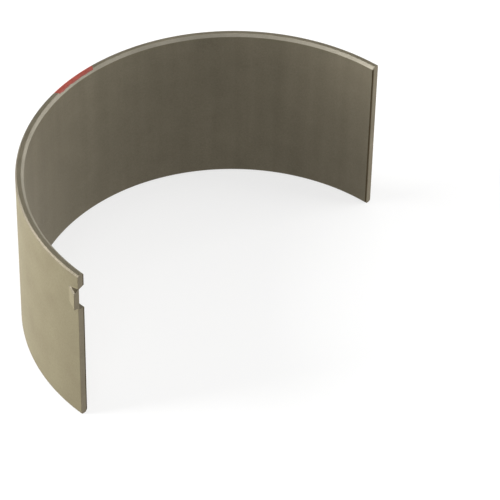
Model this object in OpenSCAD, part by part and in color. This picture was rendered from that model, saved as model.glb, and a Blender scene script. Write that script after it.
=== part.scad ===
// Plain half of a split engine bearing: a thin half ring that lines the big end of a
// connecting rod. The shaft axis is Z, the crown points along +Y, the two parting faces
// stand at the ends of the arc beside the X axis, and the locating lug is on the -X end.
// The shell is drawn as it stands free on a bench, sprung a little wider than its housing.

/* [Shell] */
// Bore of the housing that the shell is fitted into
housing_bore = 102; // [70:0.5:150]
// How much wider than the housing bore the free shell stands across its ends
free_spread = 1.6; // [0:0.1:4]
// How far each end stands proud of the housing's split line before it is bolted up
crush_height = 0.05; // [0:0.01:0.2]
// Thickness of the wall, from the back to the running surface
wall = 2; // [1.6:0.1:4]
// Width of the shell along the shaft
shell_width = 44.2; // [25:0.1:80]

/* [Edges] */
// Chamfer between each side and the running surface
bore_chamfer = 0.65; // [0.2:0.05:0.9]
// Chamfer between each side and the back
back_chamfer = 0.4; // [0.1:0.05:0.6]
// Chamfer between each parting face and the running surface
parting_chamfer = 0.2; // [0.1:0.05:0.8]

/* [Locating lug] */
// Width of the lug's crest along the shaft
lug_width = 4.8; // [3:0.1:8]
// How far the lug stands out of the back at the parting face
lug_height = 1.3; // [0.6:0.05:1.6]
// Length of the lug's ramp, round the back
lug_length = 3; // [2:0.1:8]
// Wall that is left in the lug after it was pressed out
lug_wall = 1.6; // [1.4:0.05:2.4]
// How far the lug's upper flank slants from crest to foot
upper_flank = 0.95; // [0.1:0.05:1.5]
// How far the lug's lower flank slants from crest to foot
lower_flank = 0.4; // [0.1:0.05:1.5]
// How much the pocket's floor is wider than the lug's crest, at each side
pocket_margin = 0.65; // [0:0.05:1]
// How far each side of the pocket spreads from its floor to the running surface
pocket_flank = 0.55; // [0.1:0.05:1]
// From the shell's upper side to the middle of the lug
lug_offset = 7.25; // [6.5:0.05:12]

/* [Hidden] */
$fn = 180;

// The strip is bent open in one piece, so its length round the back stays that of the fitted half ring.
back_r = (housing_bore + free_spread) / 2;
bore_r = back_r - wall;
back_length = PI * housing_bore / 2 + 2 * crush_height;
sweep = back_length / back_r * 180 / PI;
lug_end = 90 + sweep / 2;
top_z = shell_width / 2;
lug_z = top_z - lug_offset;

// The metal that is pressed out as the lug leaves a pocket in the running surface.
pocket_depth = lug_height + wall - lug_wall;

// Room by which a cut runs past the surface that it opens, and how deep the lug is rooted in the wall.
overrun = 0.3;
lug_root = wall / 8;

shell_colour = [0.60, 0.57, 0.49];

// A place near the lug's parting face: so far into the body round a circle of radius r,
// and lifted so far off that circle.
function near_end(r, along, lift) =
    let (turn = along / r * 180 / PI)
    (r + lift) * [cos(turn), -sin(turn)];

// Puts a shape drawn on the +X axis, with the body towards -Y, against the lug's parting face.
module at_lug_end() {
    rotate([0, 0, lug_end]) children();
}

// Section of the wall, with the chamfers on both sides of the shell.
module wall_section() {
    polygon([
        [bore_r, -top_z + bore_chamfer],
        [bore_r + bore_chamfer, -top_z],
        [back_r - back_chamfer, -top_z],
        [back_r, -top_z + back_chamfer],
        [back_r, top_z - back_chamfer],
        [back_r - back_chamfer, top_z],
        [bore_r + bore_chamfer, top_z],
        [bore_r, top_z - bore_chamfer],
    ]);
}

// The bent strip, open towards -Y.
module half_ring() {
    rotate([0, 0, 90 - sweep / 2])
        rotate_extrude(angle = sweep)
            wall_section();
}

// The corner taken off one parting face where it meets the running surface.
module parting_corner() {
    reach = parting_chamfer + overrun;
    linear_extrude(height = shell_width + 2 * overrun, center = true)
        polygon([
            [bore_r - overrun, overrun],
            [bore_r + reach, overrun],
            [bore_r - overrun, -reach],
        ]);
}

// A wedge that is deepest at the parting face. The ramp is its outline along the shaft; the
// flanks are its outline from the end, measured from the crest and run along the tilted ramp.
module pressed_wedge(ramp, flanks, crest_r, tilt) {
    intersection() {
        linear_extrude(height = shell_width, center = true)
            polygon(ramp);
        translate([crest_r, 0, 0])
            rotate([90, 0, -tilt])
                linear_extrude(height = 4 * lug_length, center = true)
                    polygon(flanks);
    }
}

// The lug, standing out of the back and rooted in the wall. Its crest keeps its width down the ramp.
module lug() {
    rise = lug_height + lug_root;
    run = lug_length * rise / lug_height;
    upper_slant = upper_flank / lug_height;
    lower_slant = lower_flank / lug_height;
    pressed_wedge(
        ramp = [
            near_end(back_r, 0, -lug_root),
            near_end(back_r, 0, lug_height),
            near_end(back_r, run, -lug_root),
        ],
        flanks = [
            [0, -lug_width / 2],
            [0, lug_width / 2],
            [-2 * rise, lug_width / 2 + 2 * rise * upper_slant],
            [-2 * rise, -lug_width / 2 - 2 * rise * lower_slant],
        ],
        crest_r = back_r + lug_height,
        tilt = atan(lug_height / lug_length)
    );
}

// The pocket behind the lug, open to the parting face and to the running surface.
module pocket() {
    slope = pocket_depth / lug_length;
    deepest = pocket_depth + slope * overrun;
    floor_half = lug_width / 2 + pocket_margin;
    side_slant = pocket_flank / pocket_depth;
    mouth = pocket_depth + overrun;
    pressed_wedge(
        ramp = [
            near_end(bore_r, -overrun, -overrun),
            near_end(bore_r, -overrun, deepest),
            near_end(bore_r, lug_length + overrun / slope, -overrun),
        ],
        flanks = [
            [overrun, -floor_half + overrun * side_slant],
            [overrun, floor_half - overrun * side_slant],
            [-mouth, floor_half + mouth * side_slant],
            [-mouth, -floor_half - mouth * side_slant],
        ],
        crest_r = bore_r + pocket_depth,
        tilt = 0
    );
}

module bearing_shell() {
    color(shell_colour)
        difference() {
            union() {
                half_ring();
                at_lug_end() translate([0, 0, lug_z]) lug();
            }
            at_lug_end() translate([0, 0, lug_z]) pocket();
            for (side = [0, 1])
                mirror([side, 0, 0]) at_lug_end() parting_corner();
        }
}

bearing_shell();
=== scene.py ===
"""Plain engine bearing shell, standing on its side on a pale studio floor."""
import math

import bpy
from mathutils import Matrix, Vector, noise


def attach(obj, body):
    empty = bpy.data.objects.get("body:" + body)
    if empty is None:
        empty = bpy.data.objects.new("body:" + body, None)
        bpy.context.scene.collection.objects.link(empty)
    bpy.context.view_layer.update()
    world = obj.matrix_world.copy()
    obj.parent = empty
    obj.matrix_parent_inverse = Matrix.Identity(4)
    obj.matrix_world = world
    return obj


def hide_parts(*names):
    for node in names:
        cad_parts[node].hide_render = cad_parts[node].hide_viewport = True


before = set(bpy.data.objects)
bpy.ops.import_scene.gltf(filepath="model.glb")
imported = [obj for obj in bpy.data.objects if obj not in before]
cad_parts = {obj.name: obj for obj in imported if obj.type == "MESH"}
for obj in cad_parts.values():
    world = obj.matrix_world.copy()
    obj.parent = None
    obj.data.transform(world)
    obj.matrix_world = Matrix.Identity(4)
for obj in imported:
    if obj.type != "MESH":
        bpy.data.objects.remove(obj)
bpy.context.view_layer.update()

MM = 0.001

# Sizes of the shell in millimetres, the same as in the part's source.
HOUSING_BORE = 102.0
FREE_SPREAD = 1.6
CRUSH_HEIGHT = 0.05
WALL = 2.0
WIDTH = 44.2
BORE_CHAMFER = 0.65
BACK_CHAMFER = 0.4
PARTING_CHAMFER = 0.2

LUG_WIDTH = 4.8
LUG_HEIGHT = 1.3
LUG_LENGTH = 3.0
LUG_WALL = 1.6
UPPER_FLANK = 0.95
LOWER_FLANK = 0.4
LUG_OFFSET = 7.25
POCKET_MARGIN = 0.65
POCKET_FLANK = 0.55

# Worked out from them as there. The shaft's axis is Z, and angles are in radians.
BACK_R = (HOUSING_BORE + FREE_SPREAD) / 2
BORE_R = BACK_R - WALL
BACK_LENGTH = math.pi * HOUSING_BORE / 2 + 2 * CRUSH_HEIGHT
SWEEP = BACK_LENGTH / BACK_R
LUG_END = math.pi / 2 + SWEEP / 2
TOP = WIDTH / 2
LUG_Z = TOP - LUG_OFFSET
POCKET_DEPTH = LUG_HEIGHT + WALL - LUG_WALL
POCKET_HALF = LUG_WIDTH / 2 + POCKET_MARGIN

# Radius from the bore out to which the parting faces are darker.
BORE_STRIP_R = BORE_R + 0.5

# The dab of marking paint on the upper side at the crown: where it starts and ends, in
# millimetres round the back from the lug's parting face, its inner radius and its lowest point.
DAB_FROM = 70.31
DAB_TO = 83.60
DAB_INNER = BORE_R + 0.4
DAB_LOW = TOP - 0.8

# Edges are broken by a tumbling and plating radius that is too small for the part's source.
EDGE_BREAK = 0.09
EDGE_STEPS = 3

# The same at the parting faces, on the back and on the lug, and the height over which a
# broken edge or the parting chamfer runs out.
BACK_END_BREAK = 0.05
LUG_END_BREAK = 0.06
BREAK_BLEND = 0.03
PARTING_BLEND = 0.06

# The press leaves soft lines: along the lug's crest and foot, and in the pocket and its mouth.
CREST_BLEND = 0.22
FOOT_BLEND = 0.16
POCKET_BLEND = 0.25
MOUTH_BLEND = 0.12

# Nothing of the lug or its pocket is left this far round the back.
LUG_REACH = 6.0

# Two lengths that differ by less than this are the same.
SAME = 0.001


def hex_colour(code):
    """sRGB hex to the linear colour that a shader socket takes."""
    def linear(byte):
        part = byte / 255
        return part / 12.92 if part <= 0.04045 else ((part + 0.055) / 1.055) ** 2.4
    return tuple(linear(int(code[i:i + 2], 16)) for i in (1, 3, 5)) + (1.0,)


def node(tree, kind, sockets=None, **settings):
    """Adds one shader node, with its settings, socket values and links."""
    made = tree.nodes.new("ShaderNode" + kind)
    for name, value in settings.items():
        setattr(made, name, value)
    for name, value in (sockets or {}).items():
        if isinstance(value, bpy.types.NodeSocket):
            tree.links.new(value, made.inputs[name])
        else:
            made.inputs[name].default_value = value
    return made


def new_material(name):
    """An empty node tree with a Principled shader on its output."""
    material = bpy.data.materials.new(name)
    material.use_nodes = True
    tree = material.node_tree
    tree.nodes.clear()
    shader = node(tree, "BsdfPrincipled")
    node(tree, "OutputMaterial", {"Surface": shader.outputs["BSDF"]})
    return material, tree, shader


def deselect():
    bpy.ops.object.select_all(action="DESELECT")


def soft_max(a, b, blend):
    """The larger of two heights, with their meeting line rounded off."""
    return max(a, b) + max(0.0, blend - abs(a - b)) ** 2 / (4 * blend)


def soft_min(a, b, blend):
    return -soft_max(-a, -b, blend)


def polar(point):
    """A point of the shell in millimetres: from the axis, round the back from the lug's
    parting face, and up."""
    x, y, z = (c / MM for c in point)
    return math.hypot(x, y), (LUG_END - math.atan2(y, x)) * BACK_R, z


def from_polar(radius, along, z):
    turn = LUG_END - along / BACK_R
    return Vector((math.cos(turn) * radius, math.sin(turn) * radius, z)) * MM


# The camera was found from the shell's edges in the picture. It stands 42.6 degrees above
# the floor, turned 48.6 degrees towards the lug, and leans a little to one side.
CAMERA_TURN = math.radians(-48.619)
CAMERA_RISE = math.radians(42.6309)
CAMERA_LEAN = math.radians(1.3631)
# Metres to the right, away and up, as studio() takes them.
CAMERA_PLACE = (0.00328, -0.527006, 0.50361)
CAMERA_LENS = 216
CAMERA_SENSOR = 36
FLOOR = -TOP * MM


def studio(right, away, up):
    """A place given as seen by the camera, from the shell's axis at the floor."""
    turned = Matrix.Rotation(CAMERA_TURN, 3, "Z") @ Vector((right, away, 0))
    return turned + Vector((0, 0, FLOOR + up))


camera_data = bpy.data.cameras.new("camera")
camera_data.sensor_width = CAMERA_SENSOR
camera_data.lens = CAMERA_LENS
camera = bpy.data.objects.new("camera", camera_data)
bpy.context.scene.collection.objects.link(camera)
camera.matrix_world = (
    Matrix.Translation(studio(*CAMERA_PLACE))
    @ Matrix.Rotation(CAMERA_TURN, 4, "Z")
    @ Matrix.Rotation(math.pi / 2 - CAMERA_RISE, 4, "X")
    @ Matrix.Rotation(CAMERA_LEAN, 4, "Z"))
bpy.context.scene.camera = camera
bpy.context.scene.view_settings.view_transform = "Standard"

# Square softboxes, each with its place in the studio in metres and its power in watts. All
# of them look at the middle of the shell.
LAMPS = (
    ("left softbox", (-0.9, 0.0, 0.34), 22.0),
    ("right softbox", (0.88, 0.12, 0.22), 11.0),
    ("right rear softbox", (0.65, 0.65, 0.3), 2.0),
    ("top softbox", (0.0, 0.0, 1.1), 3.5),
    ("rear softbox", (0.0, 0.75, 0.7), 1.5),
    ("front softbox", (0.0, -0.75, 0.75), 2.5),
)
LAMP_SIZE = 0.6
LAMP_AIM = studio(0.0, 0.0, 0.02)


def softbox(name, place, power):
    lamp = bpy.data.lights.new(name, "AREA")
    lamp.shape = "SQUARE"
    lamp.size = LAMP_SIZE
    lamp.energy = power
    lamp_object = bpy.data.objects.new(name, lamp)
    bpy.context.scene.collection.objects.link(lamp_object)
    lamp_object.location = place
    lamp_object.rotation_euler = (LAMP_AIM - place).to_track_quat("-Z", "Y").to_euler()


for name, place, power in LAMPS:
    softbox(name, studio(*place), power)

# A little light from all round, so that no side is black.
SKY_STRENGTH = 0.03
world = bpy.data.worlds.new("studio")
bpy.context.scene.world = world
world.use_nodes = True
sky = world.node_tree.nodes["Background"]
sky.inputs["Color"].default_value = hex_colour("#FFFFFF")
sky.inputs["Strength"].default_value = SKY_STRENGTH

FLOOR_SIZE = 6.0
# How much of the floor's look is plain white, against lit and shaded paper.
PLAIN_WHITE = 0.7


def paper_sweep():
    """White paper, matte and even. To the eye and in the metal's reflections it is mostly
    plain white, and it still takes the shell's shadow."""
    paper, tree, shader = new_material("white paper sweep")
    shader.inputs["Base Color"].default_value = hex_colour("#F2F2F1")
    shader.inputs["Roughness"].default_value = 0.9
    shader.inputs["Specular IOR Level"].default_value = 0.1
    path = node(tree, "LightPath")
    seen = path.outputs["Is Camera Ray"]
    for ray in ("Is Glossy Ray", "Is Transmission Ray"):
        added = node(tree, "Math", {0: seen, 1: path.outputs[ray]},
                     operation="ADD", use_clamp=True)
        seen = added.outputs[0]
    share = node(tree, "Math", {0: seen, 1: PLAIN_WHITE}, operation="MULTIPLY")
    white = node(tree, "Emission", {"Color": hex_colour("#FFFFFF"), "Strength": 1.0})
    both = node(tree, "MixShader", {
        "Fac": share.outputs[0], 1: shader.outputs["BSDF"], 2: white.outputs[0]})
    tree.links.new(both.outputs[0], tree.nodes["Material Output"].inputs["Surface"])
    return paper


deselect()
bpy.ops.mesh.primitive_plane_add(size=FLOOR_SIZE, location=(0, 0, FLOOR))
floor = bpy.context.object
floor.name = "studio_floor"
floor.data.materials.append(paper_sweep())


def rounded(corners, radius, steps):
    """Outline through the corners, each broken by a small arc."""
    points = []
    count = len(corners)
    for i in range(count):
        here = Vector(corners[i])
        back = (Vector(corners[i - 1]) - here).normalized()
        ahead = (Vector(corners[(i + 1) % count]) - here).normalized()
        half = math.acos(max(-1, min(1, back.dot(ahead)))) / 2
        reach = radius / math.tan(half)
        centre = here + (back + ahead).normalized() * (radius / math.sin(half))
        start = here + back * reach - centre
        finish = here + ahead * reach - centre
        for k in range(steps + 1):
            turn = start.lerp(finish, k / steps).normalized() * radius
            points.append(tuple(centre + turn))
    return points


def wall_rows():
    """Heights at which the wall needs a row of vertices: few below the lug, then close ones
    on both flanks of the lug and its pocket, and one along the foot of the paint."""
    plain = [-17.0, -11.0, -5.0, 1.0, 6.0, 9.0]
    crest = [LUG_Z + off for off in (-1.8, -0.9, 0.0, 0.9, 1.8)]
    flank_from, flank_step, flank_count = 2.1, 0.11, 17
    offs = [flank_from + flank_step * k for k in range(flank_count)]
    flanks = [LUG_Z + side * off for side in (-1, 1) for off in offs]
    return plain + sorted(crest + flanks) + [DAB_LOW]


def shell_outline():
    """Section of the wall as (radius, height), with extra rows beside the lug and at the paint."""
    corners = [
        (BORE_R, -TOP + BORE_CHAMFER), (BORE_R + BORE_CHAMFER, -TOP),
        (BACK_R - BACK_CHAMFER, -TOP), (BACK_R, -TOP + BACK_CHAMFER),
        (BACK_R, TOP - BACK_CHAMFER), (BACK_R - BACK_CHAMFER, TOP),
        (BORE_R + BORE_CHAMFER, TOP), (BORE_R, TOP - BORE_CHAMFER)]
    points = rounded(corners, EDGE_BREAK, EDGE_STEPS)
    # Where the points of the foot, of the back's upper edge and of the upper side end.
    per_corner = EDGE_STEPS + 1
    foot, back, upper = (corner * per_corner for corner in (4, 6, 7))
    rows = wall_rows()
    # On the upper side two rows give the paint's ragged ends their shape, and on the bore's
    # chamfer one row is the paint's inner line.
    side = [(BACK_R - inset, TOP) for inset in (0.65, 0.9)]
    inner_line = [(DAB_INNER, TOP - BORE_R - BORE_CHAMFER + DAB_INNER)]
    # Round the foot, up the back, over the upper side and down the running surface.
    return (points[:foot] + [(BACK_R, z) for z in rows]
            + points[foot:back] + side
            + points[back:upper] + inner_line
            + points[upper:] + [(BORE_R, z) for z in reversed(rows)])


def column_marks():
    """Distances round the back, from the lug's parting face, at which the section is repeated."""
    at_end = [0.0, 0.02, 0.05, 0.09, 0.13, 0.17, 0.21, 0.26, 0.36, 0.5]
    lug_from, lug_step, lug_count = 0.62, 0.13, 22
    behind_lug = [3.6, 4.1, 4.8, 5.8]
    even_from, even_to, even_steps = 7.0, BACK_LENGTH - 2.0, 120
    dab_steps, dab_margin, clear_of_dab = 40, 5, 2.0

    even = [even_from + (even_to - even_from) * k / even_steps for k in range(even_steps + 1)]
    dab_step = (DAB_TO - DAB_FROM) / dab_steps
    marks = at_end + [lug_from + lug_step * k for k in range(lug_count)] + behind_lug
    marks += [m for m in even if m < DAB_FROM - clear_of_dab]
    marks += [DAB_FROM + dab_step * k for k in range(-dab_margin, dab_steps + dab_margin + 1)]
    marks += [m for m in even if m > DAB_TO + clear_of_dab]
    marks += [BACK_LENGTH - m for m in reversed(at_end)]
    return marks


def lug_lift(along, z):
    """How far the back is pressed out."""
    off = z - LUG_Z
    slant = (UPPER_FLANK if off > 0 else LOWER_FLANK) / LUG_HEIGHT
    ramp = LUG_HEIGHT * (1 - along / LUG_LENGTH)
    drop = soft_max((abs(off) - LUG_WIDTH / 2) / slant, 0.0, CREST_BLEND)
    height = soft_max(ramp - drop, 0.0, FOOT_BLEND)
    # Only what stands out has an edge of its own to break.
    stands_out = height > SAME * 10
    return height - soft_max(LUG_END_BREAK - along, 0.0, BREAK_BLEND) * stands_out


def pocket_lift(along, z):
    """How far the running surface is pressed back behind the lug."""
    off = abs(z - LUG_Z)
    ramp = POCKET_DEPTH * (1 - along / LUG_LENGTH)
    side = (POCKET_HALF + POCKET_FLANK - off) * POCKET_DEPTH / POCKET_FLANK
    return soft_max(soft_min(ramp, side, POCKET_BLEND), 0.0, MOUTH_BLEND)


def parting_lift(to_end):
    """Chamfer of the running surface at a parting face."""
    return soft_max(PARTING_CHAMFER - to_end, 0.0, PARTING_BLEND)


def paint_dab(shell):
    """Marks the painted faces and draws their border into the brush's uneven line."""
    for face in shell.data.polygons:
        radius, along, z = polar(face.center)
        if DAB_FROM < along < DAB_TO and z > DAB_LOW and radius > DAB_INNER:
            face.material_index = PAINTED

    # The brush was lifted at a slant, so both ends lean inwards towards the bore.
    leans = ((DAB_FROM, 0.4), (DAB_TO, -0.25))
    # How far the border strays, in millimetres, and how fast: at the ends over the wall, at
    # the inner line and at the foot per millimetre. Stray and lean fade out over a distance.
    end_stray, end_rate, end_fade = 0.25, 3.0, 1.5
    inner_stray, inner_rate, inner_seed = 0.12, 0.7, 3
    foot_stray, foot_rate, foot_seed = 0.3, 0.5, 7
    long_fade = 0.8
    for vertex in shell.data.vertices:
        radius, along, z = polar(vertex.co)
        if z < DAB_LOW - SAME or radius < DAB_INNER - SAME:
            continue
        across = (radius - DAB_INNER) / (BACK_R - DAB_INNER)
        moved = along
        for border, lean in leans:
            near = max(0.0, 1 - abs(along - border) / end_fade)
            ragged = end_stray * noise.noise(Vector((across * end_rate, border, 0)))
            moved += near * (lean * (1 - 2 * across) + ragged)
        inside = min(1.0, max(0.0, min(along - DAB_FROM, DAB_TO - along) / long_fade))
        if abs(radius - DAB_INNER) < SAME:
            # This row slides on the chamfer, so it moves out and up alike.
            wave = noise.noise(Vector((along * inner_rate, 0, inner_seed)))
            creep = inside * inner_stray * wave
            radius, z = radius + creep, z + creep
        if abs(z - DAB_LOW) < SAME:
            wave = noise.noise(Vector((along * foot_rate, 0, foot_seed)))
            z += inside * foot_stray * wave
        vertex.co = from_polar(radius, moved, z)


def spun_section():
    """The plain half ring, open at its ends: the section spun from the lug's parting face."""
    deselect()
    outline = shell_outline()
    bpy.ops.mesh.primitive_circle_add(vertices=len(outline), radius=WALL * MM)
    shell = bpy.context.object
    shell.name = "bearing_shell_finished"
    for vertex, (radius, z) in zip(shell.data.vertices, outline):
        vertex.co = from_polar(radius, 0.0, z)

    bpy.ops.object.mode_set(mode="EDIT")
    bpy.ops.mesh.select_all(action="SELECT")
    marks = column_marks()
    for last, here in zip(marks, marks[1:]):
        bpy.ops.mesh.spin(
            steps=1, angle=(here - last) / BACK_R, center=(0, 0, 0), axis=(0, 0, 1))
    bpy.ops.mesh.select_all(action="SELECT")
    bpy.ops.mesh.remove_doubles(threshold=SAME * MM)
    bpy.ops.object.mode_set(mode="OBJECT")
    return shell


def press_wall(shell):
    """Presses the lug, its pocket and the corners at both parting faces into the wall."""
    for vertex in shell.data.vertices:
        radius, along, z = polar(vertex.co)
        to_end = min(along, BACK_LENGTH - along)
        by_lug = along < LUG_REACH
        if abs(radius - BORE_R) < SAME:
            lift = max(pocket_lift(along, z) if by_lug else 0.0, parting_lift(to_end))
        elif abs(radius - BACK_R) < SAME:
            lift = lug_lift(along, z) if by_lug else 0.0
            lift -= soft_max(BACK_END_BREAK - to_end, 0.0, BREAK_BLEND)
        elif radius < BORE_R + BORE_CHAMFER + EDGE_BREAK:
            lift = parting_lift(to_end) * (1 - (radius - BORE_R) / BORE_CHAMFER)
        else:
            continue
        vertex.co = from_polar(radius + lift, along, z)


def close_ends(shell):
    """Fills the two parting faces."""
    bpy.ops.object.mode_set(mode="EDIT")
    for end in (0.0, BACK_LENGTH):
        bpy.ops.mesh.select_all(action="DESELECT")
        bpy.ops.object.mode_set(mode="OBJECT")
        for vertex in shell.data.vertices:
            vertex.select = abs(polar(vertex.co)[1] - end) < SAME
        bpy.ops.object.mode_set(mode="EDIT")
        bpy.ops.mesh.edge_face_add()
    bpy.ops.mesh.select_all(action="SELECT")
    bpy.ops.mesh.normals_make_consistent(inside=False)
    bpy.ops.object.mode_set(mode="OBJECT")


def build_shell():
    shell = spun_section()
    paint_dab(shell)
    press_wall(shell)
    close_ends(shell)
    # Chamfers keep their lines, and broken edges shade as round.
    sharp_from = math.radians(32)
    bpy.ops.object.shade_smooth_by_angle(angle=sharp_from)
    bpy.ops.object.modifier_add(type="WEIGHTED_NORMAL")
    shell.modifiers[-1].keep_sharp = True
    bpy.ops.object.modifier_apply(modifier=shell.modifiers[-1].name)
    return shell


# Noise lies mostly between these two values, and they are spread over the whole range.
NOISE_SPAN = {"From Min": 0.3, "From Max": 0.7}
# Sizes in millimetres of the slow clouds of tone on the metal and of the paint's spots.
CLOUD_SIZE = 7.0
BRUSH_SIZE = 1.6
GRAIN_STRENGTH = 0.35
# Half the width over which that darker strip fades into the rest of the parting face.
BORE_STRIP_BLUR = 0.03


def streaks(tree, place, across, along):
    """Noise drawn out along the shaft: across and along are its sizes in millimetres."""
    seed = 3.0
    parts = node(tree, "SeparateXYZ", {"Vector": place})
    turn = node(tree, "Math", {0: parts.outputs["Y"], 1: parts.outputs["X"]}, operation="ARCTAN2")
    # One radian round the running surface is about one radius of metal.
    wide = node(tree, "Math", {0: turn.outputs[0], 1: BORE_R / across}, operation="MULTIPLY")
    high = node(tree, "Math", {0: parts.outputs["Z"], 1: 1 / MM / along}, operation="MULTIPLY")
    spot = node(tree, "CombineXYZ", {"X": wide.outputs[0], "Y": high.outputs[0], "Z": seed})
    bands = node(tree, "TexNoise", {"Vector": spot.outputs[0], "Scale": 1.0, "Detail": 2.0})
    return bands.outputs["Fac"]


def radius_of(tree, place):
    """Distance from the shaft axis, in millimetres."""
    flat = node(tree, "VectorMath", {0: place, 1: (1 / MM, 1 / MM, 0)}, operation="MULTIPLY")
    return node(tree, "VectorMath", {0: flat.outputs[0]}, operation="LENGTH").outputs["Value"]


def metal(name, dark, light, rough, play, grain, depth, streak=None, rings=None, strip=None):
    """Plated or bare metal: slow clouds of tone between two colours, and a fine grain with
    its size and depth in millimetres, which plays on the roughness. Where they are given,
    there are also streaks drawn out along the shaft, rings left by a facing tool, or a
    darker strip towards the bore."""
    material, tree, shader = new_material(name)
    place = node(tree, "TexCoord").outputs["Object"]

    cloud = node(tree, "TexNoise", {"Vector": place, "Scale": 1 / MM / CLOUD_SIZE, "Detail": 3.0})
    tone = node(tree, "MapRange", {"Value": cloud.outputs["Fac"], **NOISE_SPAN}).outputs["Result"]
    if streak:
        across, along, share = streak
        bands = node(tree, "MapRange", {
            "Value": streaks(tree, place, across, along), **NOISE_SPAN})
        mixed = node(tree, "Mix", {"Factor": share, 2: tone, 3: bands.outputs["Result"]},
                     data_type="FLOAT")
        tone = mixed.outputs[0]
    tint = node(tree, "Mix", {"Factor": tone, 6: hex_colour(dark), 7: hex_colour(light)},
                data_type="RGBA")
    if strip:
        # Darker from the bore out to the strip's radius.
        in_strip = node(tree, "MapRange", {
            "Value": radius_of(tree, place),
            "From Min": BORE_STRIP_R - BORE_STRIP_BLUR, "From Max": BORE_STRIP_R + BORE_STRIP_BLUR,
            "To Min": 1.0, "To Max": 0.0})
        tint = node(tree, "Mix", {
            "Factor": in_strip.outputs["Result"], 6: tint.outputs[2], 7: hex_colour(strip)},
            data_type="RGBA")
    tree.links.new(tint.outputs[2], shader.inputs["Base Color"])
    shader.inputs["Metallic"].default_value = 1.0

    fine = node(tree, "TexNoise", {"Vector": place, "Scale": 1 / MM / grain, "Detail": 2.0})
    dull = node(tree, "MapRange", {
        "Value": fine.outputs["Fac"], **NOISE_SPAN,
        "To Min": rough - play, "To Max": rough + play})
    tree.links.new(dull.outputs["Result"], shader.inputs["Roughness"])
    bump = node(tree, "Bump", {
        "Height": fine.outputs["Fac"], "Strength": GRAIN_STRENGTH, "Distance": depth * MM})
    if rings:
        spacing, ring_depth = rings
        turns = node(tree, "Math", {0: radius_of(tree, place), 1: 2 * math.pi / spacing},
                     operation="MULTIPLY")
        wave = node(tree, "Math", {0: turns.outputs[0]}, operation="SINE")
        bump = node(tree, "Bump", {
            "Height": wave.outputs[0], "Strength": 1.0, "Distance": ring_depth / 2 * MM,
            "Normal": bump.outputs[0]})
    tree.links.new(bump.outputs[0], shader.inputs["Normal"])
    return material


# The back: steel with a matte tin flash, straw grey, lit evenly with no clear reflection.
BACK = metal("steel back, matte tin flash", "#817963", "#878069",
             rough=0.70, play=0.05, grain=0.45, depth=0.02)
# The back's chamfers: the flash is rubbed thin there and the steel shows greyer.
RUBBED = metal("back chamfer, rubbed flash", "#655F53", "#6F695C",
               rough=0.66, play=0.05, grain=0.30, depth=0.02)
# The running surface: a softer overlay, broached along the shaft, which leaves faint upright
# bands about 5 mm wide.
OVERLAY = metal("running surface, broached overlay", "#706A5B", "#7C7565",
                rough=0.68, play=0.05, grain=0.40, depth=0.015, streak=(5.0, 90.0, 0.6))
# The bore's chamfers: turned bright after plating, and lightened further as painted highlight, so
# they pick out the rim as a pale line.
CHAMFER = metal("bore chamfer, turned, painted highlight", "#8F8A7D", "#9B9689",
                rough=0.74, play=0.04, grain=0.30, depth=0.015)
# Sides: faced on a lathe, whose rings catch the light at the crown and leave the ends dark.
SIDE = metal("side, faced and flashed", "#7B7463", "#87806E",
             rough=0.45, play=0.05, grain=0.30, depth=0.015, rings=(0.14, 0.012))
# Parting faces: broached flat, with a darker strip towards the bore.
PARTING = metal("parting faces, broached", "#756D5C", "#807867",
                rough=0.60, play=0.06, grain=0.35, depth=0.02, strip="#49402E")
# Flanks of the lug: sheared steel, dull, and coloured nearly black as painted shade.
FLANK_SHADE = metal("lug flanks, painted shade", "#353026", "#4A4437",
             rough=0.75, play=0.05, grain=0.25, depth=0.03)

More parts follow.
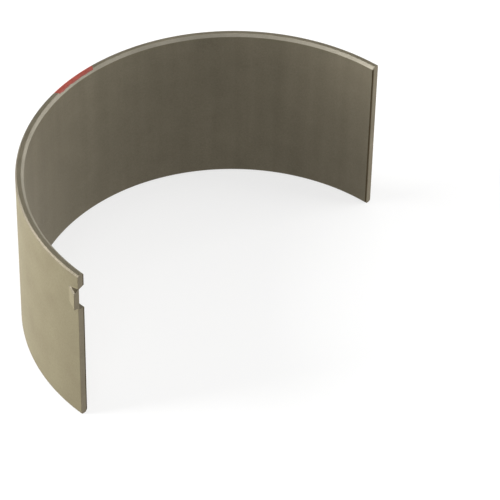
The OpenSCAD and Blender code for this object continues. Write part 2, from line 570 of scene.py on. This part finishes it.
# The dab: thin red marking paint, dull, with the brush's uneven cover.
PAINT, paint_tree, paint_shader = new_material("marking paint, brushed on")
brush = node(paint_tree, "TexNoise", {
    "Vector": node(paint_tree, "TexCoord").outputs["Object"],
    "Scale": 1 / MM / BRUSH_SIZE, "Detail": 3.0})
cover = node(paint_tree, "MapRange", {"Value": brush.outputs["Fac"], **NOISE_SPAN})
red = node(paint_tree, "Mix", {
    "Factor": cover.outputs["Result"], 6: hex_colour("#7A2E22"), 7: hex_colour("#8B372A")},
    data_type="RGBA")
paint_tree.links.new(red.outputs[2], paint_shader.inputs["Base Color"])
paint_shader.inputs["Roughness"].default_value = 0.6

FINISHES = (BACK, RUBBED, OVERLAY, CHAMFER, SIDE, PARTING, FLANK_SHADE, PAINT)
PAINTED = FINISHES.index(PAINT)

# The share of a face's normal that points along the shaft, from which a face counts as a flat
# side, a chamfer, a flank of the lug, or the rounded line along the lug's crest.
SIDE_TILT = 0.95
CHAMFER_TILT = 0.2
FLANK_TILT = 0.42
CREST_TILT = 0.1
# Where the painted shade on the lug's flanks and the rubbed metal may lie: round the back, to each
# side of the lug's middle, and for the rubbed line of the crest, above that middle.
LUG_AREA_LENGTH = LUG_LENGTH + 0.4
LUG_AREA_HALF = 5.0
CREST_FROM = LUG_WIDTH / 2 - 0.15
CREST_TO = LUG_WIDTH / 2 + 0.2
# A surface's own broken edges reach this far past it.
PAST_EDGE = 0.02


def finish_of(face):
    """The finish of the surface that a face of the shell belongs to."""
    radius, along, z = polar(face.center)
    to_end = min(along, BACK_LENGTH - along)
    to_side = TOP - abs(z)
    tilt = abs(face.normal.z)
    by_lug = along < LUG_AREA_LENGTH and abs(z - LUG_Z) < LUG_AREA_HALF
    if to_end < SAME:
        return PARTING
    if tilt > SIDE_TILT and to_side < PAST_EDGE:
        return SIDE
    if tilt > CHAMFER_TILT:
        if to_side < BORE_CHAMFER + PAST_EDGE and radius < BORE_R + WALL / 2:
            return CHAMFER
        if to_side < BACK_CHAMFER + PAST_EDGE:
            return RUBBED
    if radius > BACK_R - EDGE_BREAK:
        if by_lug and CREST_FROM < z - LUG_Z < CREST_TO and tilt > CREST_TILT:
            return RUBBED
        # Steep faces by the lug take the painted shade of its flanks.
        return FLANK_SHADE if by_lug and tilt > FLANK_TILT else BACK
    if to_end < PARTING_CHAMFER + PAST_EDGE and not by_lug:
        return PARTING
    return OVERLAY


def finish_faces(shell):
    """Gives each face that isn't painted its own finish."""
    for material in FINISHES:
        shell.data.materials.append(material)
    for face in shell.data.polygons:
        if face.material_index != PAINTED:
            face.material_index = FINISHES.index(finish_of(face))


shell = build_shell()
finish_faces(shell)
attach(shell, "root")
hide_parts("bearing_shell")
